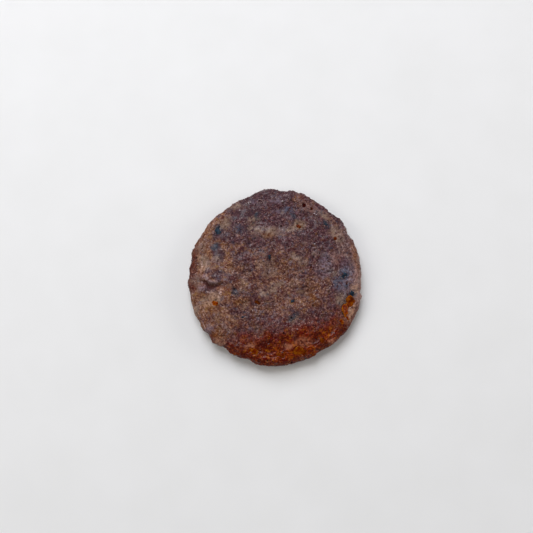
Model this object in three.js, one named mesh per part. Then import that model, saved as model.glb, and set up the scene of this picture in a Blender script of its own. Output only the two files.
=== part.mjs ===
// An adhirasam: a South Indian sweet of rice flour and jaggery dough, patted into a thick disc by hand, deep
// fried, and pressed between two ladles while it is hot. It is one piece of solid food: a low lumpy crown, a
// fat rolled rim with lobes and nicks where the dough puffed unevenly, and an underside pressed flat.
//
// Millimetres, +Z up. The origin is on the surface that the sweet rests on, under the middle of its box.

import * as THREE from "three";
import { ImprovedNoise } from "three/addons/math/ImprovedNoise.js";
import { mergeVertices } from "three/addons/utils/BufferGeometryUtils.js";

// The disc, before a hand has pushed it out of round.
const RIM_RADIUS = 42.2; // at the rim's widest line
const LONGER_IN_Y = 1.025; // the disc is a little longer one way
const BASE_RADIUS = 34; // of the flat underside
const SHOULDER_RADIUS = 33.5; // where the top turns over into the rim
const RIM_HEIGHT = 4.8; // of the widest line
const SHOULDER_HEIGHT = 9.6;
const CROWN_HEIGHT = 11.2;

// How round the cross-section is between those heights. A share is of the way to the next height or radius.
const UNDERSIDE_CURL_SHARE = 0.6; // how far out the underside runs before it turns up
const LOW_RIM_SHARE = 0.35; // how far down the rim's widest line pulls the curve below it
const HIGH_RIM_SHARE = 0.62; // how far up it pulls the curve above it
const SHOULDER_ROUNDING = { out: 3.6, down: 0.5 };
const CROWN_SLOPE = { run: 7, rise: 0.9 };
const CROWN_FLAT_SHARE = 0.45; // of the shoulder's radius

// Where the shaping by hand and oil fades in.
const TOP_BEGINS_SHARE = 0.5; // of the rim's height
const UNDERSIDE_ENDS_SHARE = 0.6; // of the rim's height
const RIM_BEGINS_SHARE = 0.7; // of the rim's radius

// How finely the surface is divided.
const STEPS_AROUND = 120;
const STEPS_OVER = 32;

// The rim's lobes and nicks: the direction of each in degrees from +X towards +Y, its half width in degrees,
// and how far it stands out of the round in millimetres.
const RIM_LOBES = [
  { at: 358, wide: 7, out: -0.5 },
  { at: 12, wide: 8, out: -0.2 },
  { at: 21, wide: 5, out: -0.4 },
  { at: 32, wide: 5, out: -0.9 },
  { at: 41, wide: 4, out: 1.3 },
  { at: 51, wide: 5, out: -0.9 },
  { at: 68, wide: 6, out: 0.5 },
  { at: 78, wide: 4, out: 1.4 },
  { at: 95, wide: 7, out: 1.3 },
  { at: 118, wide: 12, out: -0.8 },
  { at: 138, wide: 10, out: -0.6 },
  { at: 165, wide: 12, out: -0.4 },
  { at: 183, wide: 6, out: 0.3 },
  { at: 210, wide: 14, out: 0.7 },
  { at: 248, wide: 9, out: -0.6 },
  { at: 269, wide: 4, out: 1.0 },
  { at: 299, wide: 7, out: -0.6 },
  { at: 322, wide: 8, out: 0.8 },
  { at: 336, wide: 6, out: 0.8 },
  { at: 346, wide: 4, out: -0.4 },
];

// Soft hollows and swellings of the top: the middle of each, its half length, its half width, the direction
// of its length in degrees, and its height, which is negative for a hollow.
const TOP_FEATURES = [
  { name: "fold left of the middle", x: -29.5, y: -5.2, long: 6.5, wide: 1.9, turn: -8, high: -1.2 },
  { name: "lip above the fold", x: -30, y: -1.6, long: 7, wide: 2.4, turn: -12, high: 1.0 },
  { name: "knob below the fold", x: -35.2, y: -6.8, long: 2.3, wide: 2.1, turn: 0, high: 0.9 },
  { name: "slope below the fold", x: -27, y: -9.2, long: 4, wide: 2.8, turn: -25, high: 0.9 },
  { name: "dimple for syrup on the left", x: -29.1, y: -14.4, long: 1.8, wide: 1.5, turn: 0, high: -0.5 },
  { name: "valley inside the right rim", x: 33.5, y: 5, long: 16, wide: 3.0, turn: 97, high: -1.2 },
  { name: "bead on the right rim", x: 39, y: 3, long: 15, wide: 2.4, turn: 96, high: 0.8 },
  { name: "torn hollow at the right", x: 34.6, y: -15, long: 4.6, wide: 1.8, turn: 65, high: -0.6 },
  { name: "thumb hollow at the back", x: 4, y: 24, long: 12, wide: 6, turn: 8, high: -1.0 },
  { name: "roll along the back rim", x: 2, y: 35.5, long: 17, wide: 2.6, turn: 0, high: 0.7 },
  { name: "swelling at the back left", x: -19, y: 27, long: 9, wide: 6, turn: 50, high: 1.0 },
  { name: "thumb hollow in the middle", x: 6, y: -3, long: 11, wide: 8, turn: -30, high: -1.2 },
  { name: "swelling left of the middle", x: -14, y: 5, long: 9, wide: 8, turn: 60, high: 0.8 },
  { name: "swelling at the front", x: 9, y: -26, long: 12, wide: 5, turn: 12, high: 1.0 },
  { name: "hollow at the front left", x: -20, y: -25, long: 8, wide: 4, turn: -40, high: -0.9 },
  { name: "hollow at the front right", x: 28, y: -24, long: 6, wide: 4, turn: 50, high: -0.8 },
];

// Unevenness that no single feature accounts for: waves of this length and height. The offset picks another
// part of the same endless pattern, so that no two kinds of wave run together.
const TOP_WAVES = { length: 9, high: 0.8, offset: 8.2 };
const EDGE_WAVES = { length: 6, high: 0.75, offset: 3.7 };
const SIDE_WAVES = { length: 5.2, high: 0.6, offset: 11.3 };
const SAGGING_WAVES = { length: 5.2, high: 0.6, offset: 17.9 };
const BASE_EDGE_WAVES = { length: 13, high: 1.6, offset: 5.1 };

const FULL_TURN = 360;
const CRUST_BROWN = 0x6a4434;

const noise = new ImprovedNoise();

// Smooth noise of the given wave length and height at a point.
function waves({ length, high, offset }, x, y, z) {
  return high * noise.noise(x / length + offset, y / length + offset, z / length);
}

// 1 at the middle of a bump, falling smoothly to nearly 0 at twice its half width.
function bump(distanceInHalfWidths) {
  return Math.exp(-distanceInHalfWidths * distanceInHalfWidths);
}

// The cross-section from the middle of the underside, out round the rim and up to the middle of the crown.
function crossSection() {
  const path = new THREE.Path();
  path.moveTo(BASE_RADIUS, 0);
  path.bezierCurveTo(
    BASE_RADIUS + UNDERSIDE_CURL_SHARE * (RIM_RADIUS - BASE_RADIUS), 0,
    RIM_RADIUS, LOW_RIM_SHARE * RIM_HEIGHT,
    RIM_RADIUS, RIM_HEIGHT,
  );
  path.bezierCurveTo(
    RIM_RADIUS, RIM_HEIGHT + HIGH_RIM_SHARE * (SHOULDER_HEIGHT - RIM_HEIGHT),
    SHOULDER_RADIUS + SHOULDER_ROUNDING.out, SHOULDER_HEIGHT - SHOULDER_ROUNDING.down,
    SHOULDER_RADIUS, SHOULDER_HEIGHT,
  );
  path.bezierCurveTo(
    SHOULDER_RADIUS - CROWN_SLOPE.run, SHOULDER_HEIGHT + CROWN_SLOPE.rise,
    CROWN_FLAT_SHARE * SHOULDER_RADIUS, CROWN_HEIGHT,
    0, CROWN_HEIGHT,
  );
  return [new THREE.Vector2(0, 0), ...path.getSpacedPoints(STEPS_OVER)];
}

// How far the rim stands out of the round in a direction, in millimetres.
function rimLobes(degrees) {
  let out = 0;
  for (const lobe of RIM_LOBES) {
    const turnedOn = (degrees - lobe.at + 1.5 * FULL_TURN) % FULL_TURN;
    const away = Math.abs(turnedOn - FULL_TURN / 2);
    out += lobe.out * bump(away / lobe.wide);
  }
  return out;
}

// How far the hollows and swellings raise the top at a point.
function topFeatures(x, y) {
  let raised = 0;
  for (const feature of TOP_FEATURES) {
    const turn = THREE.MathUtils.degToRad(feature.turn);
    const dx = x - feature.x;
    const dy = y - feature.y;
    const along = (dx * Math.cos(turn) + dy * Math.sin(turn)) / feature.long;
    const across = (dy * Math.cos(turn) - dx * Math.sin(turn)) / feature.wide;
    raised += feature.high * bump(Math.hypot(along, across));
  }
  return raised;
}

// Pushes one point of the turned disc to where a hand and hot oil leave it. The underside stays flat.
function handShape(point) {
  const radius = Math.hypot(point.x, point.y);
  if (radius === 0) {
    point.z += point.z > 0 ? topFeatures(0, 0) : 0;
    return point;
  }
  const { x, y, z } = point;
  const degrees = THREE.MathUtils.radToDeg(Math.atan2(y, x));
  const outward = radius / RIM_RADIUS;
  const onTop = THREE.MathUtils.smoothstep(z, TOP_BEGINS_SHARE * RIM_HEIGHT, SHOULDER_HEIGHT);
  const offBase = THREE.MathUtils.smoothstep(z, 0, UNDERSIDE_ENDS_SHARE * RIM_HEIGHT);
  const nearRim = THREE.MathUtils.smoothstep(outward, RIM_BEGINS_SHARE, 1);

  const edge = rimLobes(degrees) + waves(EDGE_WAVES, x, y, 0);
  const side = offBase * nearRim * waves(SIDE_WAVES, x, y, z);
  const baseEdge = (1 - offBase) * waves(BASE_EDGE_WAVES, x, y, 0);
  const stretch = (radius + outward ** 3 * edge + side + outward * baseEdge) / radius;
  point.x = x * stretch;
  point.y = y * stretch * LONGER_IN_Y;
  point.z += onTop * (topFeatures(x, y) + waves(TOP_WAVES, x, y, 0));
  point.z += offBase * (1 - onTop) * waves(SAGGING_WAVES, x, y, z);
  return point;
}

// The whole sweet as one closed surface, its box centred over the origin.
function sweetGeometry() {
  const turned = new THREE.LatheGeometry(crossSection(), STEPS_AROUND).rotateX(Math.PI / 2);
  turned.deleteAttribute("normal");
  turned.deleteAttribute("uv");
  const geometry = mergeVertices(turned);
  const positions = geometry.getAttribute("position");
  const point = new THREE.Vector3();
  for (let i = 0; i < positions.count; i++) {
    handShape(point.fromBufferAttribute(positions, i));
    positions.setXYZ(i, point.x, point.y, point.z);
  }
  geometry.computeBoundingBox();
  const middle = geometry.boundingBox.getCenter(new THREE.Vector3());
  geometry.translate(-middle.x, -middle.y, 0);
  geometry.computeVertexNormals();
  return geometry;
}

const crust = new THREE.MeshStandardMaterial({ color: CRUST_BROWN, roughness: 0.55, metalness: 0 });

const sweet = new THREE.Mesh(sweetGeometry(), crust);
sweet.name = "adhirasam";

const part = new THREE.Group();
part.add(sweet);

export default part;
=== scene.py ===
# %% [markdown]
# # A fried sweet in Blender: the adhirasam
#
# An adhirasam is a South Indian sweet. Rice flour and jaggery syrup are kneaded to a dough, which rests for
# a few days, is patted into a thick disc by hand and fried in ghee or oil. The cook then presses it between
# two ladles to squeeze the oil out. What is left is a chewy disc with a dark, sandy, oily crust and a lumpy
# rim.
#
# The sweet has already been worked out as a plain solid of the right size. This lesson loads that solid,
# grows a real crust on it, and adds pools of syrup, grains of rice flour, specks of cardamom husk and drops
# of oil.

# %% Load the solid that everything is built on
import math
import random

import bmesh
import bpy
import numpy as np
from mathutils import Matrix, Vector, kdtree, noise
from mathutils.bvhtree import BVHTree


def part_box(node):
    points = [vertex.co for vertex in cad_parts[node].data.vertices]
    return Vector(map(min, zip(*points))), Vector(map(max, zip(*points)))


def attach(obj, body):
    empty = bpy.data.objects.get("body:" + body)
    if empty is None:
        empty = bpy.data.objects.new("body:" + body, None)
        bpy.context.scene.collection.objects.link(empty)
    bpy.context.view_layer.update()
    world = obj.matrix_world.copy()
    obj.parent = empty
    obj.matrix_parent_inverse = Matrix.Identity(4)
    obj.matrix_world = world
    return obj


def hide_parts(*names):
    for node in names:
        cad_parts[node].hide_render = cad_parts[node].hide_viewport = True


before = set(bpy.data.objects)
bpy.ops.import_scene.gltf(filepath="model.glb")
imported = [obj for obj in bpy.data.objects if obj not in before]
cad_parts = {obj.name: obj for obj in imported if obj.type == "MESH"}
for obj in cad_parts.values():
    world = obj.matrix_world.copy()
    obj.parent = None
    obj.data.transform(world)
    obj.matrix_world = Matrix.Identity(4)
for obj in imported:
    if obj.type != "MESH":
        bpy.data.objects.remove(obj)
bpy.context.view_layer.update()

MM = 0.001  # Blender works in metres, and a sweet is easier to think about in millimetres

cad_low, cad_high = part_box("adhirasam")
middle = (cad_low + cad_high) / 2
size = cad_high - cad_low


def in_mm(length):
    """A length in metres as millimetres, rounded for printing."""
    return round(float(length) / MM, 1)


print("the solid, in mm:", [in_mm(side) for side in size])

# %% [markdown]
# ## The camera
#
# Food on a plate is usually looked at from almost straight above, so the camera looks down at 78 degrees.
# The last 12 degrees matter: they show the near side of the rim, and with it how thick the sweet is. A 55
# mm lens from a forearm's length away keeps the disc round. The camera aims a little left of the sweet and
# behind it.

# %% Place the camera
LOOK_DOWN = math.radians(78)
REACH = 395 * MM
LENS = 55
AIM = Vector((-3.9, 4.4, 5.5)) * MM


def add(name, data):
    """Puts an object with this data into the scene."""
    thing = bpy.data.objects.new(name, data)
    bpy.context.scene.collection.objects.link(thing)
    return thing


camera_data = bpy.data.cameras.new("camera")
camera_data.lens = LENS
camera_data.clip_start = 0.01
camera = add("camera", camera_data)
bpy.context.scene.camera = camera

aim = Vector((middle.x, middle.y, 0)) + AIM
back = Vector((0, -math.cos(LOOK_DOWN), math.sin(LOOK_DOWN)))
camera.location = aim + back * REACH
camera.rotation_mode = "QUATERNION"
camera.rotation_quaternion = (-back).to_track_quat("-Z", "Y")
print("the camera stands at, in mm:", [in_mm(part) for part in camera.location])

# %% [markdown]
# ## The floor
#
# The sweet stands on a plain pale table. It's one big square, and no part of the sweet.

# %% Lay the floor
FLOOR_REACH = 3.0


def plain_mesh(name, points, faces, smooth=True):
    """A mesh object from lists of points and faces."""
    mesh = bpy.data.meshes.new(name)
    mesh.from_pydata(points, [], faces)
    mesh.validate()
    if smooth:
        mesh.shade_smooth()
    return add(name, mesh)


square = [(x * FLOOR_REACH, y * FLOOR_REACH, 0) for x, y in ((-1, -1), (1, -1), (1, 1), (-1, 1))]
floor = plain_mesh("floor", square, [(0, 1, 2, 3)], smooth=False)
print("the floor is", 2 * FLOOR_REACH, "m wide")

# %% [markdown]
# ## The light
#
# A dark oily crust shows its form mostly by what it mirrors. A large cool softbox behind the sweet, rather
# low, brightens every slope that leans back and leaves the slopes that lean forward to their true warm
# colour. Two weaker lamps keep the shadows open. A small one nearly overhead is bright for its size, so
# that wet spots throw it back as sparks.

# %% Hang the lamps
# Each lamp has its name, its place and width in metres, its watts and its tint.
LAMPS = [
    ("softbox", (-0.25, 0.76, 0.94), 0.90, 14.0, (0.90, 0.92, 1.0)),
    ("left_fill", (-1.08, -0.09, 0.90), 0.72, 5.0, (1.0, 0.97, 0.93)),
    ("right_fill", (1.25, 0.22, 0.48), 0.63, 6.0, (1.0, 0.97, 0.95)),
    ("spark", (-0.08, 0.24, 0.80), 0.07, 0.35, (0.95, 0.97, 1.0)),
]
ROOM_TINT = (0.95, 0.97, 1.0)
ROOM_STRENGTH = 0.20

for name, place, wide, watts, tint in LAMPS:
    data = bpy.data.lights.new(name, "AREA")
    data.shape = "SQUARE"
    data.size = wide
    data.energy = watts
    data.color = tint
    light = add(name, data)
    light.location = place
    light.rotation_mode = "QUATERNION"
    light.rotation_quaternion = (-light.location).to_track_quat("-Z", "Y")

room = bpy.data.worlds.new("room")
room.use_nodes = True
room.node_tree.nodes["Background"].inputs["Color"].default_value = (*ROOM_TINT, 1)
room.node_tree.nodes["Background"].inputs["Strength"].default_value = ROOM_STRENGTH
bpy.context.scene.world = room
bpy.context.scene.view_settings.view_transform = "Standard"
print("lamps:", [name for name, *_ in LAMPS])

# %% [markdown]
# ## Shader maths in Python
#
# A material is a graph of nodes, and a sum of three values is already two nodes and four links. The class
# below wraps a node's output so that a sum can be written as a sum: every operator adds its Math node.
# `Graph.node` adds any other node from its type, its settings and the values or links of its sockets.

# %% Wrap a socket
class Wire:
    """A node's output that can stand in a Python sum."""

    def __init__(self, graph, socket):
        self.graph = graph
        self.socket = socket

    def maths(self, operation, *values):
        return self.graph.node("ShaderNodeMath", {"operation": operation}, dict(enumerate(values)))

    def __add__(self, other):
        return self.maths("ADD", self, other)

    def __sub__(self, other):
        return self.maths("SUBTRACT", self, other)

    def __rsub__(self, other):
        return self.maths("SUBTRACT", other, self)

    def __mul__(self, other):
        return self.maths("MULTIPLY", self, other)

    __radd__ = __add__
    __rmul__ = __mul__


class Graph:
    """A material's nodes. The first of them, here, is the place on the piece."""

    def __init__(self, name):
        self.material = bpy.data.materials.new(name)
        self.material.use_nodes = True
        self.tree = self.material.node_tree
        self.tree.nodes.clear()
        self.here = self.node("ShaderNodeTexCoord", output="Object")

    def node(self, kind, settings=None, sockets=None, output=0):
        """Adds a node. Its settings come first, because they can change which sockets it has."""
        made = self.tree.nodes.new(kind)
        for name, value in (settings or {}).items():
            setattr(made, name, value)
        for name, value in (sockets or {}).items():
            if isinstance(value, Wire):
                self.tree.links.new(value.socket, made.inputs[name])
            else:
                made.inputs[name].default_value = value
        return Wire(self, made.outputs[output]) if made.outputs else None


# %% [markdown]
# ## Tools for every finish
#
# Soft noise says where something is, a smooth step sharpens it, and a layer lays a colour over what is
# there already. Colours are written as on a paint card. The table is the first thing to get its finish: two
# pale greys that drift into each other.

# %% Add the nodes that every finish uses
def tone(hex_code):
    """A colour written as on a paint card, turned into the linear light that shaders count in."""
    parts = [int(hex_code[i:i + 2], 16) / 255 for i in (0, 2, 4)]
    return tuple(p / 12.92 if p <= 0.04045 else ((p + 0.055) / 1.055) ** 2.4 for p in parts) + (1.0,)


def clouds(graph, width, detail=3.0, rough=0.55, shift=0.0, swirl=0.0):
    """Soft noise from 0 to 1 with waves about so wide. Swirl bends them into streaks and curls."""
    place = graph.node("ShaderNodeVectorMath", {"operation": "ADD"}, {0: graph.here, 1: (shift,) * 3})
    sockets = {"Vector": place, "Scale": 1 / width, "Detail": detail, "Roughness": rough}
    return graph.node("ShaderNodeTexNoise", None, {**sockets, "Distortion": swirl})


def ease(value, low, high):
    """0 below low, 1 above high and a smooth climb between. Swapped ends turn it round."""
    sockets = {"Value": value, "From Min": low, "From Max": high}
    return value.graph.node("ShaderNodeMapRange", {"interpolation_type": "SMOOTHSTEP"}, sockets)


def layer(below, above, share):
    """Lays one colour, or a tone, over another. The share goes from 0, nothing of it, to 1."""
    below, above = (tone(colour) if isinstance(colour, str) else colour for colour in (below, above))
    return share.graph.node("ShaderNodeMix", {"data_type": "RGBA"}, {0: share, 6: below, 7: above}, 2)


def layers(ground, over):
    """Lays several colours over a ground, one after another. Each comes with its share."""
    for above, share in over:
        ground = layer(ground, above, share)
    return ground


def finish_surface(graph, piece, sockets):
    """Ends a material in one Principled shader, puts it on a piece and prints its name and node count."""
    shader = graph.node("ShaderNodeBsdfPrincipled", None, sockets)
    graph.node("ShaderNodeOutputMaterial", None, {"Surface": shader})
    piece.data.materials.clear()
    piece.data.materials.append(graph.material)
    print(graph.material.name, "has", len(graph.tree.nodes), "nodes")


table = Graph("pale_table")
finish_surface(table, floor, {
    "Base Color": layer("e0dfdb", "e7e6e3", clouds(table, 30 * MM, detail=2.0)),
    "Roughness": 0.7,
    "Specular IOR Level": 0.3,
})

# %% [markdown]
# ## An even skin
#
# The solid's surface is cut into long thin triangles, which can't be pushed about finely. A voxel remesh
# copies its shape into small even squares. It also copies the solid's flat facets, so a smoothing pass
# rounds them off. The squares are about 0.3 mm wide, so that a grain of rice flour spans a few of them.

# %% Remesh the solid
SKIN_STEP = 0.31 * MM
ROUNDING_PASSES = 22


def settle(piece):
    """Turns a piece's modifiers into plain mesh."""
    bpy.context.view_layer.update()
    seen = piece.evaluated_get(bpy.context.evaluated_depsgraph_get())
    settled = bpy.data.meshes.new_from_object(seen)
    piece.modifiers.clear()
    piece.data = settled


crust = add("crust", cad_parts["adhirasam"].data.copy())
weld = crust.modifiers.new("weld", "WELD")
weld.merge_threshold = 0.001 * MM
even = crust.modifiers.new("even", "REMESH")
even.mode = "VOXEL"
even.voxel_size = SKIN_STEP
even.use_smooth_shade = True
rounded = crust.modifiers.new("rounded", "SMOOTH")
rounded.iterations = ROUNDING_PASSES
settle(crust)
print("the skin has", len(crust.data.vertices), "points")

# %% [markdown]
# ## Points and normals as numbers
#
# Relief is easier to work out for all the points at once. NumPy holds each as a row of three numbers, and
# Blender's noise is asked once for every row.

# %% Read the skin
def read(values, name, width):
    """Reads one property of every element into rows of the given width."""
    flat = np.empty(len(values) * width, np.float32)
    values.foreach_get(name, flat)
    return flat.reshape(-1, width).astype(float)


points = read(crust.data.vertices, "co", 3)
normals = read(crust.data.vertex_normals, "vector", 3)
even_faces = [tuple(face.vertices) for face in crust.data.polygons]
smooth_skin = BVHTree.FromPolygons(points.tolist(), even_faces)
from_middle = points - np.array((middle.x, middle.y, 0))
to_right, to_back, height = from_middle.T
x_mm, y_mm = to_right / MM, to_back / MM
radius = np.hypot(to_right, to_back)
angle = np.arctan2(to_back, to_right)
print("from the middle to the rim, in mm:", in_mm(radius.max()))


# %% Turn noise into shapes
def climb(value, low, high):
    """0 below low, 1 above high and a smooth climb between, for whole columns of numbers."""
    t = np.clip((value - low) / (high - low), 0, 1)
    return t * t * (3 - 2 * t)


def waves(places, width, shift=0.0):
    """Soft noise from about -1 to 1 at each place, with waves about so wide."""
    return np.array([noise.noise(place) for place in (places / width + shift).tolist()])


def swell(kinds):
    """Adds up waves over the skin, each with a height and a width in millimetres and a shift."""
    return sum(high * MM * waves(points, width * MM, shift) for high, width, shift in kinds)


def jitter(far, width, shifts):
    """Moves each point about by noise: one column for each shift, with waves so many millimetres wide."""
    return far * np.stack([waves(points, width * MM, shift) for shift in shifts], axis=1)


def cells(places, width, shift):
    """How far each place is from the nearest and second nearest of scattered seeds, in widths."""
    found = [noise.voronoi(place)[0] for place in (places / width + shift).tolist()]
    return np.array([near[:2] for near in found]).T


def show(what, columns):
    """Prints the mean of each column of numbers."""
    print(what, {name: round(float(values.mean()), 2) for name, values in columns.items()})


print("a quarter of the way, the climb has come to", climb(0.25, 0, 1))

# %% Say where on the sweet each point lies
RIM_BAND = 8.5 * MM

outer = size.x / 2
upright = normals[:, 2]
on_top = climb(upright, -0.1, 0.5)
on_base = climb(-upright, 0.55, 0.97)
on_side = 1 - climb(np.abs(upright), 0.35, 0.95)
from_above = climb(upright, -0.7, -0.1)
in_rim = climb(radius, outer - RIM_BAND, outer - 0.45 * RIM_BAND)
show("share of the points on:", {"top": on_top, "side": on_side, "base": on_base, "rim": in_rim})

# %% [markdown]
# ## Lumps from the hand
#
# The dough is patted out by hand, so nothing on it is level. Broad swellings are noise with waves of about
# a centimetre. The rim is rougher: its dough isn't pressed by the ladles and swells into knobs a few
# millimetres across, which make the outline uneven. Just inside the edge it rolls up a little, with a
# shallow valley behind.

# %% Raise the lumps and the knobs
LUMPS = [(0.34, 8, 3.1), (0.22, 4.4, 7.7)]
KNOBS = [(0.34, 3.6, 12.4), (0.22, 1.7, 23.5)]
RIM_BINS = 90
ROLL_AT, ROLL_WIDE, ROLL_HIGH = 2.7 * MM, 1.7 * MM, 0.55 * MM
VALLEY_AT, VALLEY_WIDE, VALLEY_DEEP = 6.4 * MM, 2.2 * MM, 0.45 * MM

relief = swell(LUMPS) * (0.5 + 0.5 * on_top) + swell(KNOBS) * np.maximum(0.35 * on_top, on_side)

bins = np.linspace(-math.pi, math.pi, RIM_BINS + 1)
widest = [radius[np.abs(angle - turn) < math.pi / RIM_BINS].max() for turn in bins]
from_edge = np.interp(angle, bins, widest) - radius
roll = ROLL_HIGH * np.exp(-((from_edge - ROLL_AT) / ROLL_WIDE) ** 2)
valley = VALLEY_DEEP * np.exp(-((from_edge - VALLEY_AT) / VALLEY_WIDE) ** 2)
plump = 0.55 + 0.45 * np.clip(2 * waves(points, 9 * MM, 27.0), -1, 1)
relief += on_top * plump * (roll - valley)
print("lumps and knobs reach, in mm:", in_mm(np.abs(relief).max()))

# %% [markdown]
# ## Wrinkles
#
# While the crust sets, the dough under it still grows and shrinks, and the crust wrinkles. On the rim the
# wrinkles run round the sweet. Stretched noise does that: round the rim, every place is moved to a small
# ring, so that the noise has less far to travel there and its waves come out longer.

# %% Fold the wrinkles
WRINKLE_RING = 13 * MM
ROUND_DEEP, ANY_DEEP, SMALL_DEEP = 0.46 * MM, 0.32 * MM, 0.26 * MM

ring = np.stack([WRINKLE_RING * np.cos(angle), WRINKLE_RING * np.sin(angle), radius - height], axis=1)
bent = jitter(1.1 * MM, 3.2, (2.0, 4.0, 6.0))


def creases(places, width, shift):
    """Narrow valleys between broad ridges, from 0 on the ridges to 1 in the valleys."""
    return 1 - np.abs(np.clip(waves(places, width, shift) * 2.2, -1, 1))


round_rim = creases(ring + bent, 2.2 * MM, 5.0)
any_way = creases(points + bent, 3.6 * MM, 31.0)
small_way = creases(points + bent, 1.9 * MM, 35.0)
wrinkled = climb(waves(points, 11 * MM, 44.0), -0.3, 0.35)
pushed = np.maximum(in_rim, climb(-to_right - 0.3 * to_back, 22 * MM, 30 * MM))
wrinkles = -ROUND_DEEP * round_rim ** 2 * pushed - ANY_DEEP * any_way ** 3 * (1 - 0.6 * pushed)
wrinkles -= SMALL_DEEP * small_way ** 2 * (1 - 0.4 * pushed)
relief += wrinkles * (0.4 + 0.6 * wrinkled) * (1 - 0.5 * on_base)
print("the deepest wrinkle, in mm:", in_mm(-wrinkles.min()))

# %% [markdown]
# ## The sandy crust
#
# Rice flour is coarse, and in hot oil it sets to a crust of small pebbles with tiny gaps between them.
# Scattered seeds give that: the distance to the nearest seed makes each pebble's dome, and the gap is where
# the nearest and the second nearest are equally far. The pebbles are coarse in some places and hardly there
# in others, where the syrup has glazed them over.

# %% Grow the pebbles
PEBBLE_HIGH, FINE_HIGH = 0.18 * MM, 0.13 * MM
GAP_DEEP = 0.05 * MM
DOME_EDGE = 0.45  # how far from its seed a pebble sinks below the skin, in widths

wobble = jitter(0.8 * MM, 2.4, (50.0, 60.0, 70.0))
near, second = cells(points + wobble, 1.5 * MM, 9.0)
fine_near, fine_second = cells(points - wobble, 0.85 * MM, 19.0)
sandy = climb(waves(points, 7 * MM, 81.0) + 0.5 * waves(points, 2.6 * MM, 85.0), -0.4, 0.35)
pebbles = PEBBLE_HIGH * (DOME_EDGE - near) + FINE_HIGH * (DOME_EDGE - fine_near)
gaps = -GAP_DEEP * (1 - climb(second - near, 0.0, 0.28))
gaps -= GAP_DEEP * (1 - climb(fine_second - fine_near, 0.0, 0.3))
grain = (pebbles + gaps) * (0.25 + 0.75 * sandy) * (1 - 0.45 * pushed)
grain += 0.11 * MM * waves(points, 0.9 * MM, 91.0)
relief += grain
print("the grain's depth, in mm:", in_mm(grain.max() - grain.min()))

# %% [markdown]
# ## Blisters and pores
#
# Steam lifts small blisters, and where it breaks through it leaves a pore with a slightly raised lip. Both
# are scattered by chance, from a fixed seed so that each run gives the same sweet. A k-d tree finds the
# points of the skin round each one.

# %% Write the tools for blisters and pores
THROAT = 0.62  # the share of a pore's reach that is hollow; the rest is its lip
LIP_AT, LIP_WIDE, LIP_HIGH = 0.72, 0.16, 0.22  # in shares of the pore's reach, and of its depth

tree = kdtree.KDTree(len(points))
for index, place in enumerate(points.tolist()):
    tree.insert(place, index)
tree.balance()
pits = np.zeros(len(points))


def lift_blister(place, reach, high):
    """Adds a round swelling to the relief."""
    for _, index, distance in tree.find_range(place, reach):
        relief[index] += high * (1 - (distance / reach) ** 2) ** 2


def open_pore(place, reach, deep):
    """Adds a hole with a lip to the relief and marks its throat, which gets a painted shade."""
    for _, index, distance in tree.find_range(place, reach):
        t = distance / reach
        lip = LIP_HIGH * math.exp(-((t - LIP_AT) / LIP_WIDE) ** 2)
        throat = max(0, 1 - (t / THROAT) ** 2)
        relief[index] += deep * (lip - throat ** 1.5)
        pits[index] = max(pits[index], throat)


print("points within 1 mm of the first:", len(tree.find_range(points[0], MM)))

# %% Scatter blisters and pores
BLISTERS = 80
PORES = 110

chance = random.Random(11)
for _ in range(BLISTERS):
    index = chance.randrange(len(points))
    reach = chance.uniform(1.2, 3.4) * MM
    high = chance.uniform(0.14, 0.28) * reach
    lift_blister(points[index], reach, high)
for _ in range(PORES):
    index = chance.randrange(len(points))
    reach = chance.uniform(0.5, 1.2) * MM
    deep = chance.uniform(0.3, 0.7) * reach
    open_pore(points[index], reach, deep)
print("relief from", in_mm(relief.min()), "to", in_mm(relief.max()), "mm")

# %% [markdown]
# ## The fold
#
# Some marks aren't left to chance, because they make this sweet itself. On the left the soft crust was
# pushed together into a fold, which forks once and has a knob beside it. It could be sculpted by hand, but
# a line through a few points is easier to change. So the fold is a groove along that line, with a low bank
# on one side and a high one on the other. Noise shakes the line so that it doesn't look drawn.

# %% Write the tools for marks
shaken_x, shaken_y = jitter(0.7, 2.2, (201.0, 211.0)).T


def way_to_line(x, y, line):
    """How far each place is from a line, how far along it from 0 to 1, and on which side."""
    nearest = np.full(len(x), np.inf)
    along = np.zeros(len(x))
    side = np.zeros(len(x))
    steps = len(line) - 1
    for step, (start, end) in enumerate(zip(line, line[1:])):
        run = np.array(end) - start
        dx, dy = x - start[0], y - start[1]
        t = np.clip((dx * run[0] + dy * run[1]) / (run @ run), 0, 1)
        away = np.hypot(dx - t * run[0], dy - t * run[1])
        closer = away < nearest
        along = np.where(closer, (step + t) / steps, along)
        side = np.where(closer, np.sign(run[1] * dx - run[0] * dy), side)
        nearest = np.minimum(nearest, away)
    return nearest, along, side


def groove(line, widths):
    """How deep each point is in a groove, from 0 to 1, its way across, and the fade at the ends."""
    away, along, side = way_to_line(x_mm + shaken_x, y_mm + shaken_y, line)
    ends = np.sin(math.pi * np.clip(along, 0.03, 0.97)) ** 0.7
    return np.exp(-(away / np.interp(along, (0, 0.5, 1), widths)) ** 2) * ends, away * side, ends


def bank(across, ends, away, wide, high):
    """A soft ridge that runs beside a groove."""
    return high * np.exp(-((across - away) / wide) ** 2) * ends


def patch(x, y, long, wide, turn=0, fade=0.6):
    """1 inside an ellipse, 0 outside, with a ragged edge. Sizes in millimetres, turn in degrees."""
    turn = math.radians(turn)
    dx = x_mm + 1.3 * shaken_x - x
    dy = y_mm + 1.3 * shaken_y - y
    along = (dx * math.cos(turn) + dy * math.sin(turn)) / long
    across = (dy * math.cos(turn) - dx * math.sin(turn)) / wide
    return 1 - climb(np.hypot(along, across), 1 - fade, 1 + fade)


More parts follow.
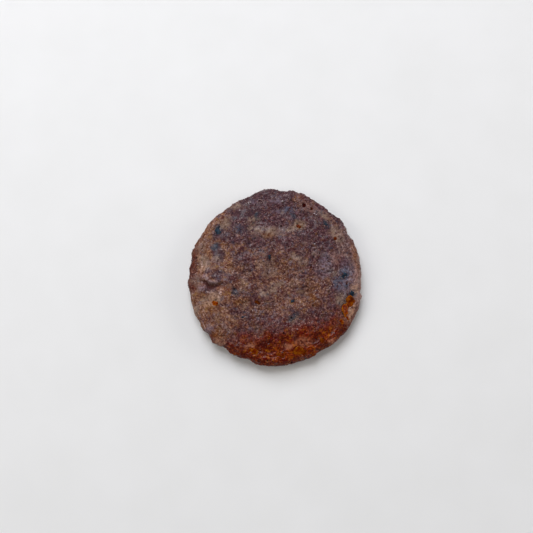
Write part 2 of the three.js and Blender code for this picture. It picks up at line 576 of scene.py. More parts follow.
def on_skin(x, y, lift=0.0):
    """The place on top of the smooth skin, or above it, that lies so many millimetres from the middle."""
    start = Vector((middle.x + x * MM, middle.y + y * MM, cad_high.z + MM))
    hit = smooth_skin.ray_cast(start, Vector((0, 0, -1)))[0]
    return start.x, start.y, (hit.z if hit else 0.0) + lift * MM


print("in the middle, the smooth skin is", in_mm(on_skin(0, 0)[2]), "mm high")

# %% Press in the fold
FOLD = [
    (-37.2, -3.2), (-34.4, -3.5), (-32.8, -4.9), (-30.9, -6.3), (-28.6, -6.2), (-26.8, -5.4), (-25.2, -5.0),
]
FOLD_WIDE = (0.35, 1.15, 0.45)  # at its start, its middle and its end
FOLD_DEEP = 0.75
FOLD_BANKS = [{"away": 2.2, "wide": 1.1, "high": 0.3}, {"away": -2.0, "wide": 1.1, "high": 0.9}]
BRANCH = [(-32.6, -5.6), (-32.3, -7.2), (-31.2, -8.6), (-29.6, -8.9)]
BRANCH_WIDE = (0.5, 0.5, 0.4)
BRANCH_DEEP = 0.4
KNOB = (-34.3, -7.0, 2.2, 2.1, -20)
KNOB_HIGH = 0.5
KNOB_PORES = [(-34.6, -8.0, 1.1), (-35.2, -6.2, 0.9), (-33.9, -6.0, 0.8), (-36.0, -7.8, 0.7)]

sunk_fold, across, ends = groove(FOLD, FOLD_WIDE)
sunk_branch = groove(BRANCH, BRANCH_WIDE)[0]
raised = sum(bank(across, ends, **edge) for edge in FOLD_BANKS) + KNOB_HIGH * patch(*KNOB)
relief += on_top * MM * (raised - FOLD_DEEP * sunk_fold - BRANCH_DEEP * sunk_branch)
for x, y, reach in KNOB_PORES:
    open_pore(on_skin(x, y), reach * MM, 0.5 * reach * MM)
print("points of the skin in the fold:", int((sunk_fold > 0.5).sum()))

# %% [markdown]
# ## Tears
#
# In a few places the crust tore or a bubble burst, and syrup welled up from the dough. A tear is a hollow
# under a few overlapping discs, with noise to make its edge ragged and a slight lip round it. The same
# hollows are filled with syrup further down, so one list says all of it: where the discs are, how deep the
# hollow is and how high above the smooth skin its syrup stands. The last two numbers colour the syrup: how
# clear its edge is, and how dark it is all over.

# %% List the tears
# Each tear has its discs, as place and reach, and then its deep, level, clear and dark.
TEARS = [
    ([(36.2, -11.5, 1.3), (35.8, -12.9, 1.6), (37.0, -13.0, 1.6), (36.5, -14.4, 1.4), (35.0, -15.0, 1.1)],
     0.7, -0.12, 1.0, 0.3),
    ([(36.9, -12.2, 1.2)], 0.2, 0.0, 1.0, 0.65),
    ([(33.6, -16.1, 1.5), (33.1, -17.0, 1.4), (33.9, -18.6, 1.2)], 1.3, -0.06, 0.6, 0.12),
    ([(33.8, -20.1, 0.7), (34.5, -20.9, 0.6), (35.0, -21.6, 0.6)], 0.5, -0.14, 0.8, 0.15),
    ([(31.6, -22.6, 0.8), (32.2, -23.5, 0.8)], 0.4, -0.14, 0.6, 0.2),
    ([(14.6, 34.4, 1.0), (15.1, 34.7, 0.6)], 1.3, -0.8, 0.3, 1.0),
    ([(18.3, 32.9, 0.65)], 1.1, -0.7, 0.3, 0.9),
    ([(34.7, -4.7, 0.5)], 0.9, -0.6, 0.3, 0.9),
    ([(-28.8, -14.2, 1.2), (-28.0, -14.4, 1.0)], 0.6, -0.2, 0.4, 0.0),
    ([(11.2, -37, 2.2), (13.4, -37.6, 1.5)], 0.4, -0.14, 0.7, 0.35),
    ([(3.4, -39, 1.3), (1.6, -38.6, 1.0)], 0.4, -0.14, 0.7, 0.45),
    ([(-9.5, -37.4, 1.5), (-11.5, -36.6, 1.0)], 0.4, -0.14, 0.7, 0.3),
    ([(22.6, -32, 1.1)], 0.4, -0.14, 0.3, 0.5),
    ([(29.4, 17.6, 0.8)], 0.5, -0.25, 1.0, 0.65),
    ([(11.3, 23.6, 0.9), (12.4, 23.2, 0.6)], 0.5, -0.25, 1.0, 0.6),
    ([(-8.5, -13.8, 0.9), (-7.5, -14.6, 0.7)], 0.8, -0.45, 0.3, 0.8),
    ([(17.5, 3.2, 0.6)], 0.9, -0.6, 0.3, 0.9),
]
print("tears:", len(TEARS))

# %% Tear the crust
TEAR_LIP = 0.16 * MM
BESIDE_TEAR = 2.0  # how far round the discs the skin is worked on, in millimetres


def torn(discs, x, y):
    """Above 0 inside a tear and below 0 outside it, for places in millimetres."""
    flat = np.stack([x, y, np.zeros_like(x)], axis=1)
    inside = np.max([1 - ((x - cx) ** 2 + (y - cy) ** 2) / r ** 2 for cx, cy, r in discs], axis=0)
    return inside + 0.6 * waves(flat, 1.3, 5.5) + 0.3 * waves(flat, 0.6, 8.5)


wet = np.zeros(len(points))
for discs, deep, *_ in TEARS:
    beside = np.min([np.hypot(x_mm - cx, y_mm - cy) - r for cx, cy, r in discs], axis=0)
    close = (beside < BESIDE_TEAR) & (on_top > 0.3)
    inside = torn(discs, x_mm[close], y_mm[close])
    sunk = climb(inside, -0.2, 0.4)
    lip = TEAR_LIP * np.exp(-((inside + 0.45) / 0.3) ** 2)
    relief[close] = relief[close] * (1 - 0.5 * sunk) - deep * MM * sunk + lip
    wet[close] = np.maximum(wet[close], sunk)
print("points of the skin in the tears:", int((wet > 0.5).sum()))

# %% [markdown]
# ## Moving the skin
#
# Everything up to here is one number for each point: how far it stands out of the smooth skin. Now every
# point moves that far along its normal. The base rests on the table, so no point may sink below it.

# %% Move the skin
moved = points + normals * relief[:, None]
moved[:, 2] = np.maximum(moved[:, 2], 0)
crust.data.vertices.foreach_set("co", moved.astype(np.float32).ravel())
crust.data.update()
moved_normals = read(crust.data.vertex_normals, "vector", 3)
print("the crust is", in_mm(moved[:, 2].max()), "mm high")

# %% [markdown]
# ## Where the crust differs
#
# The sweet isn't one brown. Its front rim lay longest in the oil and is soaked to a clear orange brown. The
# left side and the rim are tan, the back is dusky, and here and there dry flour shows pale. The dusky back
# is partly the crust's own darker brown and partly a painted lilac sheen. Each of these is a number from 0
# to 1 at every point of the skin, kept with the mesh under a name, so that the material can read it. A
# painted image would need the skin to be unwrapped first, and numbers on the points don't.
#
# The small patches come first. Each is a listed ellipse, and the noise that shook the fold makes its edge
# ragged. They end on the side, because they would print through to the base. There some kinds of patch
# come by chance instead.

# %% List the patches
# Each patch has its place and two half sizes, and some have a turn and a last number for a softer edge.
PATCHES = {
    # Plum: darker purple. On the back rim and beside the middle it is painted shade.
    "plum": [
        (-26.5, 9.5, 2.4, 2.6), (-27.5, 0, 2.4, 2.4), (-27, 20, 3.2, 2.2, 40), (-31, -8, 3, 1.6),
        (-4, 40.8, 12, 2.6), (32, 28.5, 5, 2, -48), (36, 18, 2.5, 3), (-13, 30.5, 6, 3.4, 15),
        (-13.6, 36.6, 4.2, 2.4, 15), (-15, 22, 2.6, 2.4), (-32, 1.6, 2.2, 1.8), (-28.2, 12.1, 2.4, 2.4),
        (-24.5, 18, 2.8, 2.2), (18.8, 24.8, 2.6, 1.8), (19.5, 30.6, 2.6, 1.8), (6, 39.6, 3, 1.6),
        (-15.8, 27.4, 2.4, 2),
    ],
    "brown": [
        (-40.4, 4, 2.4, 11), (-39, -4.6, 3.2, 3.6), (-38.2, -6.2, 1.7, 1.8), (-30, -29, 4, 3, -35),
        (-38.3, 10, 2.2, 5, -12), (-30.8, -21.6, 2.2, 2),
    ],
    "floury": [
        (-34, 6, 4, 2.2, -53), (-31, -13, 4.2, 2.2, 5), (-3.5, 20.6, 6, 2.2, 5, 0.9),
        (7.3, 21.6, 2.2, 1.6), (-10, 26.5, 2.8, 2, 20), (11.5, 24, 3.4, 2.2, 10), (29.6, 21, 3.2, 2.8),
        (31.5, -12.5, 2.6, 3.4), (-4.4, -9.6, 3, 1.5, 15), (-0.8, -7.2, 2.4, 1.8, 60),
        (2.6, -5, 2, 1.2, 10), (10.2, 8.2, 2.8, 1.5, -35), (13.6, 5.4, 2.2, 1.4, 5),
        (13.5, -33, 4.2, 1.8, 5), (-28.5, -12.4, 3, 2.6), (-27.5, 7.6, 2, 1.6),
        (-11.5, -34.6, 2.2, 1.2, 10), (31.5, 17.5, 2.2, 2), (-23.8, 25.4, 3, 2.4, 50),
        (-26.2, -33, 2.6, 1.6, -30), (6.4, -35, 2.2, 1), (26.6, -32.2, 1.7, 1.4),
        (-37.2, -17.4, 1.8, 2.4), (-18.8, 34.2, 2.4, 1.6, 40), (-10.2, 22.2, 2.6, 2.4),
        (24.5, 29.4, 2.8, 1.6, -40),
    ],
    "golden": [
        (39.2, 8, 8, 1.3, 100), (-33, 11.5, 2.4, 1.2, 80), (-27, -29, 3.5, 2, -45),
        (-30, -17, 3.2, 1.6, 60), (12.4, 23.8, 2.6, 1.6, 10), (-16, -14, 4, 2.2, 20),
        (18, -12, 4.5, 2.2, 120), (-3, 19, 3, 1.6), (36.8, -17.6, 2, 3.6, -20),
    ],
    # Misty: a painted sheen, the lilac haze that an oily surface mirrors.
    "misty": [
        (35.3, -3, 4.2, 9), (2, 31.5, 3, 1.2, 5), (24, 4, 6, 3.5, 70), (1.5, 37.2, 3.4, 1.6),
        (-10.5, 36.2, 2.4, 1.4), (-30.5, -27, 2.4, 1.6), (39, -8.4, 2.4, 3.8), (-28, 7, 2.2, 1.8),
    ],
    # Slaty: blue-grey, mostly a painted cast shadow beside the middle.
    "slaty": [(30.6, -3.6, 3, 4.2), (33.4, 0.4, 2.6, 2.6), (-17.6, 21.6, 2.4, 1.8), (6.9, 31.8, 2.6, 1.6)],
    # Rosy: a painted reflection that lightens the right rim.
    "rosy": [
        (33.2, 12.5, 2.6, 3), (17, 33, 4.5, 2.4, -30), (29.5, 8, 2.4, 3), (36, -18, 3, 5, -25),
        (30, 20, 2.8, 2.4), (35.8, -21.2, 2, 2.2),
    ],
    "pale": [
        (-36.5, 8, 1, 1.4), (38.4, -7.6, 2, 2.4), (-34.8, 3.2, 2, 1.4), (-31.4, -14.4, 3, 1.4, 5),
        (-28.4, -12.2, 2.4, 1.6, 20), (37, -16.6, 1.4, 3, -10), (35.5, -21.6, 1.2, 1.8),
    ],
    # Streaked: painted highlights along the wrinkles.
    "streaked": [
        (-30.5, -25, 7, 4, -52), (-33, 7, 5, 2.5, 80), (33, 13, 6, 2.5, -60), (37, -17, 2, 4.5, -20),
        (39.2, -9.6, 1.8, 4),
    ],
    "soaked": [(32.8, -25.6, 3.4, 3.6, -35), (-19.5, -34.8, 3.8, 1.8, -20)],
    "seared": [
        (32.6, -26.2, 3.2, 3), (-17.4, -35, 2.6, 1.4, -15), (19.9, -32.6, 2.8, 1.6),
        (-4, -33.6, 3.4, 1.8),
    ],
    # Dark blue-grey marks.
    "blue_grey_marks": [
        (25.2, 25.2, 2.4, 1.1, -50), (-8.6, 29, 2.4, 1, 65), (33.6, -0.7, 2.4, 1.8, 20),
        (34.4, -5.6, 1.3, 0.8, 40), (-28.9, 13.4, 2.2, 1.3, 75), (-27.7, 22, 2.3, 1.3, 80),
        (9.2, 28.6, 2.4, 0.9, -40), (9, -21, 3.2, 1.5, 35), (-19, -9, 2.6, 1.2, 120),
        (37.2, -9.8, 2.2, 1.5, 40),
    ],
}
print("patches:", {name: len(spots) for name, spots in PATCHES.items()})

# %% Lay the patches
BY_CHANCE_BELOW = ("plum", "brown", "floury", "golden", "misty")


def lay(name):
    """Where the patches of one kind lie, 1 inside them and 0 outside."""
    drawn = from_above * np.max([patch(*spot) for spot in PATCHES[name]], axis=0)
    if name not in BY_CHANCE_BELOW:
        return drawn
    by_chance = climb(waves(points, 9 * MM, 300.0 + 10 * BY_CHANCE_BELOW.index(name)), 0.2, 0.55)
    return drawn + (1 - from_above) * by_chance


laid = {name: lay(name) for name in PATCHES}
show("share of the points in them:", laid)

# %% [markdown]
# ## Soaked, tan and streaked
#
# The large areas come from where a point lies, and noise moves their borders to and fro. The front edge is
# soaked and the left is tan, except at the far back. The middle is a little browner than the back. Where
# the rim is wrinkled, it has pale streaks, which are stretched noise again and painted highlights along the
# wrinkles. The right rim is lighter and pinker: a painted reflection on its outer slope.

# %% Mark the large areas
MIDDLE = (1, -4, 26, 20)
MIDDLE_TAN = 0.47

ragged = swell([(2.6, 6, 140.0), (1.4, 2.1, 150.0)])
soaked = climb(-to_back + 2 * ragged + 0.2 * to_right, 21 * MM, 33 * MM)
soaked = np.maximum(soaked, laid["soaked"])
far_back = np.maximum(to_back - 12 * MM, 0)
tanned = climb(-to_right - 0.6 * far_back + 4 * ragged, 6 * MM, 36 * MM)
tanned = np.maximum(tanned, MIDDLE_TAN * patch(*MIDDLE)) * (1 - soaked)
dry = climb(waves(points, 8 * MM, 160.0) + 0.5 * waves(points, 3 * MM, 165.0), 0.25, 0.75)

right = climb(to_right + 0.6 * ragged, 20 * MM, 34 * MM)
# The right rim is lighter and pinker: a painted reflection on its outer slope.
rosy = right * climb(radius + 0.2 * ragged, 37 * MM, 39.5 * MM) * (1 - climb(to_back, 8 * MM, 22 * MM))
painted_streaks = waves(ring * (1, 1, 2.2) + bent, 2.0 * MM, 171.0) + 0.4 * waves(ring, 0.9 * MM, 175.0)
streaky = np.maximum(0.4 * pushed * (1 - climb(to_back, 22 * MM, 32 * MM)), laid["streaked"])
streaky *= (1 - 0.85 * soaked) * (1 - 0.75 * laid["brown"])
show("share of the points:", {"soaked": soaked, "tanned": tanned, "dry": dry, "rosy": rosy})

# %% Keep the maps with the mesh
AS_LAID = ("plum", "brown", "golden", "misty", "slaty", "seared", "blue_grey_marks")


def keep(piece, name, values):
    """Stores one number for every point of a piece under a name."""
    piece.data.attributes.new(name, "FLOAT", "POINT").data.foreach_set("value", values.astype(np.float32))


maps = {
    **{name: laid[name] for name in AS_LAID},
    "grain": np.clip(0.5 + grain / (0.5 * MM), 0, 1),
    # The dent, pits and crease maps carry painted shade; ridge and knob carry a painted highlight and
    # sheen.
    "dent": np.clip(-relief / (0.9 * MM), 0, 1) * (1 - wet),
    "pits": pits,
    "crease": np.maximum(sunk_fold, 0.6 * sunk_branch) * on_top,
    "ridge": bank(across, ends, away=-1.9, wide=0.9, high=1.0) * on_top,
    "knob": patch(*KNOB) * on_top,
    "rim": in_rim,
    "soaked": np.maximum(soaked, 0.8 * wet),
    "tanned": tanned,
    "streak": climb(painted_streaks, 0.05, 0.6) * streaky * on_top,
    "rosy": np.maximum(rosy, 0.6 * laid["rosy"]) * (1 - soaked) * (1 - 0.7 * laid["golden"]),
    "pale": laid["pale"] * on_top,
    "floury": np.maximum(laid["floury"], 0.5 * dry * (1 - soaked) * (1 - laid["plum"])),
}
for name, values in maps.items():
    keep(crust, name, values)
show("maps:", maps)

# %% [markdown]
# ## The fried crust
#
# A fried crust is many browns at once, and they change within a millimetre. So the finish is built in
# layers over a ground. The ground comes in three kinds: dusky at the back, tan at the left, soaked in
# front. The dusky kind is partly a painted lilac sheen, the reflection that an oily top shows. Each kind
# is a fine mottle of a dark and a light tone, with soft spots of maroon, slate, ochre and pink a
# millimetre or two across; the pink spots are painted highlights. The three kinds use the same noise, so
# that a spot runs on where one ground turns into another.

# %% Mix the three grounds
def surface_map(graph, name):
    """One of the numbers kept with the mesh."""
    return graph.node("ShaderNodeAttribute", {"attribute_name": name}, output="Fac")


fried = Graph("fried_crust")
mapped = {name: surface_map(fried, name) for name in maps}

blotches = clouds(fried, 4.5 * MM, shift=3)
drifts = clouds(fried, 7 * MM, detail=4, rough=0.6, shift=71)
mottle = clouds(fried, 1.5 * MM, detail=4, rough=0.65, shift=11, swirl=0.4)
speckle = clouds(fried, 0.9 * MM, rough=0.6, shift=47, swirl=0.4)
flecks = clouds(fried, 0.5 * MM, detail=2, rough=0.6, shift=23)
fine = ease(mottle * 0.3 + speckle * 0.45 + flecks * 0.25, 0.45, 0.66)
maroon = ease(clouds(fried, 2.4 * MM, detail=4, rough=0.65, shift=73, swirl=0.4), 0.50, 0.62)
slate = ease(clouds(fried, 2.0 * MM, detail=4, rough=0.65, shift=67, swirl=0.4), 0.54, 0.66)
ochre = ease(clouds(fried, 1.7 * MM, detail=4, rough=0.65, shift=61, swirl=0.4), 0.54, 0.66)
# The pink spots stand for small glints: painted highlights.
pink = ease(clouds(fried, 1.1 * MM, rough=0.65, shift=97, swirl=0.4), 0.56, 0.66)

# The dusky ground: partly the crust's own darker brown, partly a painted lilac sheen.
dusky = layers(layer("34151a", "745056", fine), [
    ("40080c", maroon * 0.55), ("42424e", slate * 0.5), ("704a2a", ochre * 0.45), ("86686c", pink * 0.4),
])
tan = layers(layer("562c1a", "a67858", fine), [
    ("60200f", maroon * 0.38), ("6a6070", slate * 0.5), ("88622a", ochre * 0.6), ("b08a7c", pink * 0.5),
])
soaky = layers(layer("4a0c00", "9c4004", fine), [
    ("560000", maroon * 0.8), ("9c5600", ochre * 0.7), ("8c4a38", pink * 0.25),
])
print("nodes so far:", len(fried.tree.nodes))

# %% [markdown]
# ## Patches on the ground
#
# The maps say where each patch lies. Most patches are broken up by the mottle too, because flour and oil
# gather in the dips between the pebbles and a clean edge would look painted.

# %% Lay the patches over the ground
def broken(name, noise, low, high):
    """A patch that shows only where the noise is high."""
    return mapped[name] * ease(noise, low, high)


tan_share = mapped["tanned"] * 1.1 + mapped["rim"] * 0.25 - mapped["plum"] * 0.9
tan_share = ease(tan_share + (drifts - 0.5) * 1.6 + (mottle - 0.5) * 0.9, 0.05, 0.95)
flour = layer("8e7664", "a0684e", mapped["soaked"])
flour_noise = mottle * 1.2 + mapped["grain"] * 0.3 + (drifts - 0.5) * 0.4
colour = layers(layer(dusky, tan, tan_share), [
    # Plum patches: painted shade on the lit back rim and beside the middle.
    ("3a2229", mapped["plum"] * 0.58),
    (layer("3e0c04", "783a20", fine), mapped["brown"]),
    (layer("5a2c0c", "8e6028", fine), mapped["golden"] * 0.75),
    # Painted sheen: the misty lilac patches.
    ("7e7280", broken("misty", mottle, 0.35, 0.65) * 0.6),
    # Painted cast shadow: the slaty blue-grey patches.
    ("4e5e72", broken("slaty", mottle, 0.35, 0.6) * 0.55),
    (soaky, mapped["soaked"]),
    ("3c0700", mapped["seared"] * 0.6),
    # Painted reflection on the right rim.
    ("9c7466", broken("rosy", mottle, 0.3, 0.6) * 0.7),
    (flour, broken("floury", flour_noise, 0.5, 0.85) * 0.75),
])
print("nodes so far:", len(fried.tree.nodes))

# %% [markdown]
# ## Colour that follows the relief
#
# Some of this colour is painted light and shade. The tips of the grain are paler, partly dry flour and
# partly a painted highlight, and the gaps between them get a painted shade. The grain map is the same
# number that moved the skin, so a pale tip is where a tip is. The fold, the dents and the pores are
# darkened with painted shade in the same way, the fold's high bank gets a painted highlight and its knob
# a painted sheen, and tiny glints are painted highlights.

# %% Tie the colour to the relief
burnt = ease(1 - blotches - mapped["grain"] * 0.2, 0.46, 0.62)
blue_black = ease(clouds(fried, 2.0 * MM, rough=0.65, shift=83), 0.58, 0.68)
tips = ease(mapped["grain"] + (flecks - 0.5) * 1.3, 0.62, 1.0)
in_gaps = ease(mapped["grain"] + (flecks - 0.5) * 1.1, 0.40, 0.04)
# Glints: painted highlights, sparse pale flecks in the colour.
glints = ease(flecks * 0.7 + speckle * 0.3, 0.59, 0.67) * ease(drifts, 0.42, 0.58)
colour = layers(colour, [
    ("2c1014", burnt * 0.35),
    ("23252f", blue_black * (1 - mapped["soaked"]) * (1 - tan_share * 0.7) * 0.6),
    # A painted sheen on the knob and a painted highlight on the fold's high bank.
    ("7e6670", broken("knob", speckle, 0.35, 0.55) * 0.7),
    ("a08c96", broken("ridge", speckle, 0.3, 0.6) * 0.75),
    # Paler tips: partly dry flour, partly a painted highlight.
    ("b08c7c", tips * (0.42 - mapped["soaked"] * 0.38)),
    ("b0886e", broken("pale", speckle, 0.35, 0.55) * 0.7),
    # Pale streaks: painted highlights along the wrinkles.
    ("bc9e94", broken("streak", speckle, 0.35, 0.6) * 0.85),
    # Painted shade in the gaps between the pebbles.
    ("240a06", in_gaps * 0.22),
    # Painted shade in the dents.
    ("1c0706", mapped["dent"] * 0.25),
    # Dark blue-grey marks over the crust.
    ("1e2c38", broken("blue_grey_marks", mottle, 0.3, 0.55) * 0.8),
    # Painted highlights: the glints.
    ("c4aaa0", glints * (0.7 - mapped["soaked"] * 0.58)),
    # Painted shade in the fold.
    ("42191a", ease(mapped["crease"], 0.15, 0.75) * 0.82),
    # Painted shade in the pores' throats.
    ("180808", mapped["pits"] * 0.5),
])
print("nodes so far:", len(fried.tree.nodes))

# %% [markdown]
# ## A film of oil
#
# Oil makes the crust glossy in some places and leaves it dull in others. It lies on the crust as a thin
# clear film, and that is what a shader's coat is for: its weight changes from place to place. A fine bump
# adds the sand that is too small for the mesh.

# %% Oil the crust
oily = ease(clouds(fried, 3.2 * MM, shift=37) + mapped["soaked"] * 0.1, 0.42, 0.6)
sand = clouds(fried, 0.32 * MM, rough=0.7, shift=51) * 0.6 + speckle
bump = fried.node("ShaderNodeBump", None, {"Height": sand, "Strength": 0.4, "Distance": 0.14 * MM})
finish_surface(fried, crust, {
    "Base Color": colour,
    "Roughness": 0.64 - oily * 0.30 - mapped["soaked"] * 0.16 + (flecks - 0.5) * 0.25,
    "Specular IOR Level": 0.12,
    "Coat Weight": oily * (0.2 - mapped["soaked"] * 0.16),
    "Coat Roughness": 0.22,
    "Normal": bump,
})

# %% [markdown]
# ## Syrup in the tears
#
# Jaggery syrup is a clear amber that looks dark red where it's deep. It lies level, so its own surface is
# smooth while the crust round it is rough, and its outline is simply where the two meet. So each pool is a
# patch that follows the smooth skin from before the relief, a little lower, and dives under the crust at
# its edge. Solidify turns the open patch into a closed body.

# %% Pour the syrup
POOL_STEP = 0.2  # from point to point, in millimetres
POOL_REACH = 1.3  # how far a pool's mesh goes, in shares of its discs' reach
POOL_DIVE = 0.55  # how far its edge dives under the crust, in millimetres
POOL_EVEN = 0.4  # how deep syrup looks where it has no clear ring


def pour(discs, level, clear, vertices, faces, depths):
    """Adds one pool to lists of its vertices, its faces and how deep it looks."""
    places, reach = np.split(np.array(discs), [2], axis=1)
    low = (places - POOL_REACH * reach).min(axis=0)
    high = (places + POOL_REACH * reach).max(axis=0)
    xs, ys = (np.arange(start, stop, POOL_STEP) for start, stop in zip(low, high))
    gx, gy = (grid.ravel() for grid in np.meshgrid(xs, ys, indexing="ij"))
    inside = torn(discs, gx, gy)
    lift = level - POOL_DIVE * (1 - climb(inside, -0.35, 0.35))
    first = len(vertices)
    for x, y, up in zip(gx, gy, lift):
        vertices.append(on_skin(x, y, up))
    depths += (clear * np.clip(inside, 0, 1) + (1 - clear) * POOL_EVEN).tolist()
    for row in range(len(xs) - 1):
        for corner in range(row * len(ys), (row + 1) * len(ys) - 1):
            square = [corner, corner + len(ys), corner + len(ys) + 1, corner + 1]
            if all(inside[corner] > -0.5 for corner in square):
                faces.append([first + corner for corner in square])


pool_vertices, pool_faces, depths, darkness = [], [], [], []
for discs, _, level, clear, dark in TEARS:
    pour(discs, level, clear, pool_vertices, pool_faces, depths)
    darkness += [dark] * (len(pool_vertices) - len(darkness))
syrup = plain_mesh("syrup", pool_vertices, pool_faces)
keep(syrup, "dark", np.array(darkness))
keep(syrup, "depth", np.array(depths))
print("the pools have", len(pool_faces), "squares")

# %% Close the pools
SYRUP_THICK = 0.5 * MM

clean = bmesh.new()
clean.from_mesh(syrup.data)
bmesh.ops.delete(clean, geom=[v for v in clean.verts if not v.link_faces], context="VERTS")
clean.to_mesh(syrup.data)
clean.free()
thick = syrup.modifiers.new("thick", "SOLIDIFY")
thick.thickness = SYRUP_THICK
thick.offset = -1
settle(syrup)
syrup.data.shade_smooth()
print("the syrup has", len(syrup.data.polygons), "faces")

# %% [markdown]
# ## The colour of syrup
#
# A ray that goes through little syrup comes back amber, and through more it comes back red. Real depth
# would need light to travel inside the syrup, which is slow. A number on each point says how deep it looks,
# and noise makes it uneven, with a few dark bits of crust that float in it.

# %% Colour the syrup
amber = Graph("jaggery_syrup")
uneven = clouds(amber, 1.1 * MM, shift=7, swirl=1.0) - 0.5
deep = ease(surface_map(amber, "depth") * 0.7 + uneven * 2.6, 0.0, 0.7)
bits = ease(clouds(amber, 0.9 * MM, detail=2, shift=43, swirl=1.0), 0.54, 0.64)
colour = layers(layer("9e5606", "701f02", deep), [
    ("3c1000", bits * 0.6),
    ("2e0401", surface_map(amber, "dark")),
])
ripple = clouds(amber, 0.9 * MM, detail=2, shift=29)
bump = amber.node("ShaderNodeBump", None, {"Height": ripple, "Strength": 0.45, "Distance": 0.25 * MM})
finish_surface(amber, syrup, {
    "Base Color": colour,
    "Roughness": 0.12 + ripple * 0.12,
    "Specular IOR Level": 0.05,
    "Normal": bump,
})

# %% [markdown]
# ## Small things by the thousand
#
# Grains of flour, specks of husk and drops of oil are too many to model one by one. One small ball is
# copied to many places, and each copy is bent by its own piece of noise. All copies of a kind become one
# mesh, which is quick to draw.

# %% Write a sower
def seed_shape(roundness):
    """The points and triangles of a small ball. More roundness gives more of both."""
    ball = bmesh.new()
    bmesh.ops.create_icosphere(ball, subdivisions=roundness, radius=1)
    corners = np.array([v.co for v in ball.verts])
    triangles = np.array([[v.index for v in face.verts] for face in ball.faces])
    ball.free()
    return corners, triangles


def sow(name, roundness, spots, bend):
    """One mesh of many small balls. A spot is a place, an up direction, three half sizes and a turn."""
    corners, triangles = seed_shape(roundness)
    everywhere, every_face = [], []
    for count, (place, up, sizes, turn) in enumerate(spots):
        stand = Vector(up).to_track_quat("Z", "Y").to_matrix() @ Matrix.Rotation(turn, 3, "Z")
        bulge = 1 + bend * (waves(corners, 1.1, 3.7 * count) + 0.5 * waves(corners, 0.45, 5.3 * count))
        copy = (corners * bulge[:, None] * sizes) @ np.array(stand).T + place
        copy[:, 2] = np.maximum(copy[:, 2], 0)
        everywhere.append(copy)
        every_face.append(triangles + count * len(corners))
    print(name, "has", len(spots), "balls and", len(triangles) * len(spots), "triangles")
    return plain_mesh(name, np.concatenate(everywhere).tolist(), np.concatenate(every_face).tolist())


print("triangles in the roundest ball:", len(seed_shape(3)[1]))

# %% [markdown]
# ## Grains of flour
#
# The coarsest grains of rice flour stand out of the crust, mostly where it's sandy. They are half sunk in
# it and take their brown from the same material: each grain carries the maps of the place where it grew.
# Only its place in the relief is left to chance, so that some grains get more of the pale tips, partly a
# painted highlight, than others.

# %% Choose where grains lie
GRAINS = 5200

worth = on_top * (0.15 + 0.85 * sandy) * (1 - wet) + 0.6 * on_side
likely = np.flatnonzero(worth > 0.2)
chosen = []
while len(chosen) < GRAINS:
    index = int(likely[chance.randrange(len(likely))])
    if chance.random() < worth[index]:
        chosen.append(index)
print("share of the skin where grains may lie:", round(len(likely) / len(points), 2))

# %% Sow the grains
LARGE_SHARE, LARGE_SIZE = 0.08, 1.25

spots = []
for index in chosen:
    half = chance.uniform(0.16, 0.40) * MM * (LARGE_SIZE if chance.random() < LARGE_SHARE else 1)
    sizes = np.array((half, half * chance.uniform(0.6, 1.0), half * chance.uniform(0.5, 0.85)))
    sunk = moved[index] - moved_normals[index] * sizes[2] * chance.uniform(0.1, 0.6)
    spots.append((sunk, moved_normals[index], sizes, chance.uniform(0, math.tau)))
grains = sow("flour_grains", 1, spots, 0.35)
each = len(grains.data.vertices) // len(spots)
tint = np.array([chance.uniform(0.3, 1.0) for _ in chosen])
for name, values in maps.items():
    keep(grains, name, np.repeat(tint if name == "grain" else values[chosen], each))
grains.data.materials.append(fried.material)

# %% [markdown]
# ## Cardamom
#
# The dough is spiced with crushed cardamom. Its husk and seeds fry to nearly black, with a little green
# left in them. A few larger flakes lie where they catch the eye, and smaller specks are everywhere.

# %% Lay the specks
# Like a patch, a flake has its place, its two half sizes and its turn.
FLAKES = [
    (-27.7, 21.5, 2.1, 1.15, 80), (-27.0, 23.3, 0.7, 0.4, 30), (37.1, -9.3, 1.2, 1.0, 35),
    (33.7, -0.1, 1.1, 0.7, 100), (32.9, -1.8, 0.7, 0.45, 20), (25.0, 24.6, 0.9, 0.5, -40),
    (-2.5, 8, 1.1, 0.6, 20), (8.5, -13.5, 0.9, 0.55, 150), (-15.0, -21, 0.8, 0.5, 60),
]
FLAKE_THICK, FLAKE_LIFT = 0.36, 0.12
SPECKS = 70


def spot_at(x, y, sizes, lift, turn):
    """A spot at a place on top, with everything in millimetres, a little above the skin."""
    index = tree.find(on_skin(x, y))[1]
    return moved[index] + normals[index] * lift * MM, normals[index], np.array(sizes) * MM, turn


def spot_by_chance(index, least, most, flat, lift=0.0):
    """A spot at a point of the skin, with its size and turn left to chance."""
    half = chance.uniform(least, most) * MM
    sizes = half * np.array((1.0, chance.uniform(0.5, 0.9), flat))
    place = moved[index] + moved_normals[index] * lift * MM
    return place, moved_normals[index], sizes, chance.uniform(0, math.tau)


spots = []
for x, y, long, wide, turn in FLAKES:
    spots.append(spot_at(x, y, (long, wide, FLAKE_THICK), FLAKE_LIFT, math.radians(turn)))
for _ in range(SPECKS):
    spots.append(spot_by_chance(chance.randrange(len(points)), 0.12, 0.34, 0.5))
specks = sow("cardamom_specks", 3, spots, 0.6)

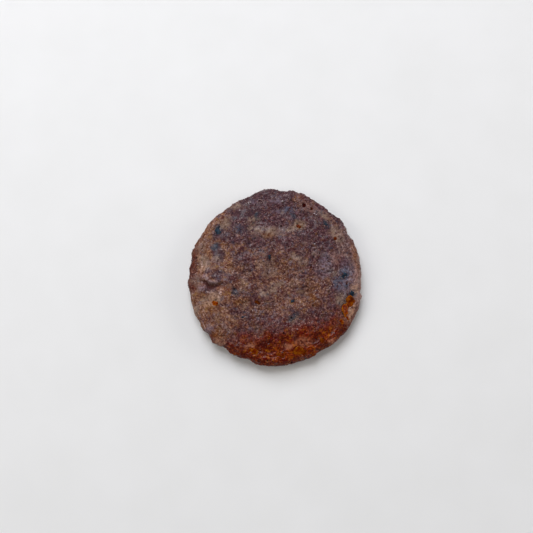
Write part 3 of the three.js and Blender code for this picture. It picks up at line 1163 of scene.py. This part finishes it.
# %% Colour the specks
husk = Graph("cardamom_husk")
fibre = clouds(husk, 0.5 * MM, shift=13)
bump = husk.node("ShaderNodeBump", None, {"Height": fibre, "Strength": 0.8, "Distance": 0.2 * MM})
finish_surface(husk, specks, {
    "Base Color": layer("020c18", "083850", ease(fibre, 0.45, 0.7)),
    "Roughness": 0.45 + fibre * 0.2,
    "Specular IOR Level": 0.25,
    "Normal": bump,
})

# %% [markdown]
# ## Drops of oil
#
# After frying, a little oil stays on the crust in flat drops. A drop is clear, so it's about as dark as the
# crust below it and shows only by the spark of light on it.

# %% Leave the oil
LARGE_DROPS = [(19.8, 30.2), (20.7, 29.6), (3.9, 36.2), (-11.8, 36), (-12.9, 35.6), (-17.0, 31.4)]
DROP_SIZES = (0.8, 0.6, 0.34)
DROPS = 70

spots = []
for count, (x, y) in enumerate(LARGE_DROPS):
    spots.append(spot_at(x, y, DROP_SIZES, 0.2, 0.6 * count))
while len(spots) < DROPS:
    index = chance.randrange(len(points))
    if on_top[index] > 0.9:
        spots.append(spot_by_chance(index, 0.2, 0.5, 0.35, 0.06))
drops = sow("oil_drops", 3, spots, 0.08)

# %% Colour the oil
oil = Graph("frying_oil")
finish_surface(oil, drops, {
    "Base Color": layer("40242a", "664644", clouds(oil, 1.0 * MM, shift=17)),
    "Roughness": 0.06 + clouds(oil, 0.8 * MM, shift=5) * 0.06,
    "IOR": 1.47,
    "Coat Weight": 1.0,
})

# %% [markdown]
# ## Fewer triangles
#
# The even skin spends as many triangles on smooth places as on rough ones. Decimation takes them away where
# the surface is nearly flat and keeps the shape. It comes last, because everything before it counts the
# skin's points.

# %% Thin the crust
MOST_TRIANGLES = 190_000

thin = crust.modifiers.new("thin", "DECIMATE")
thin.ratio = MOST_TRIANGLES / (2 * len(crust.data.polygons))
settle(crust)
crust.data.shade_smooth()
print("the crust has", len(crust.data.polygons), "faces")

# %% [markdown]
# ## Tie the pieces on
#
# Every piece is tied to the solid's body, and the crust takes the solid's place.

# %% Tie the pieces to the frame
for piece in (crust, syrup, grains, specks, drops):
    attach(piece, "root")
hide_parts("adhirasam")
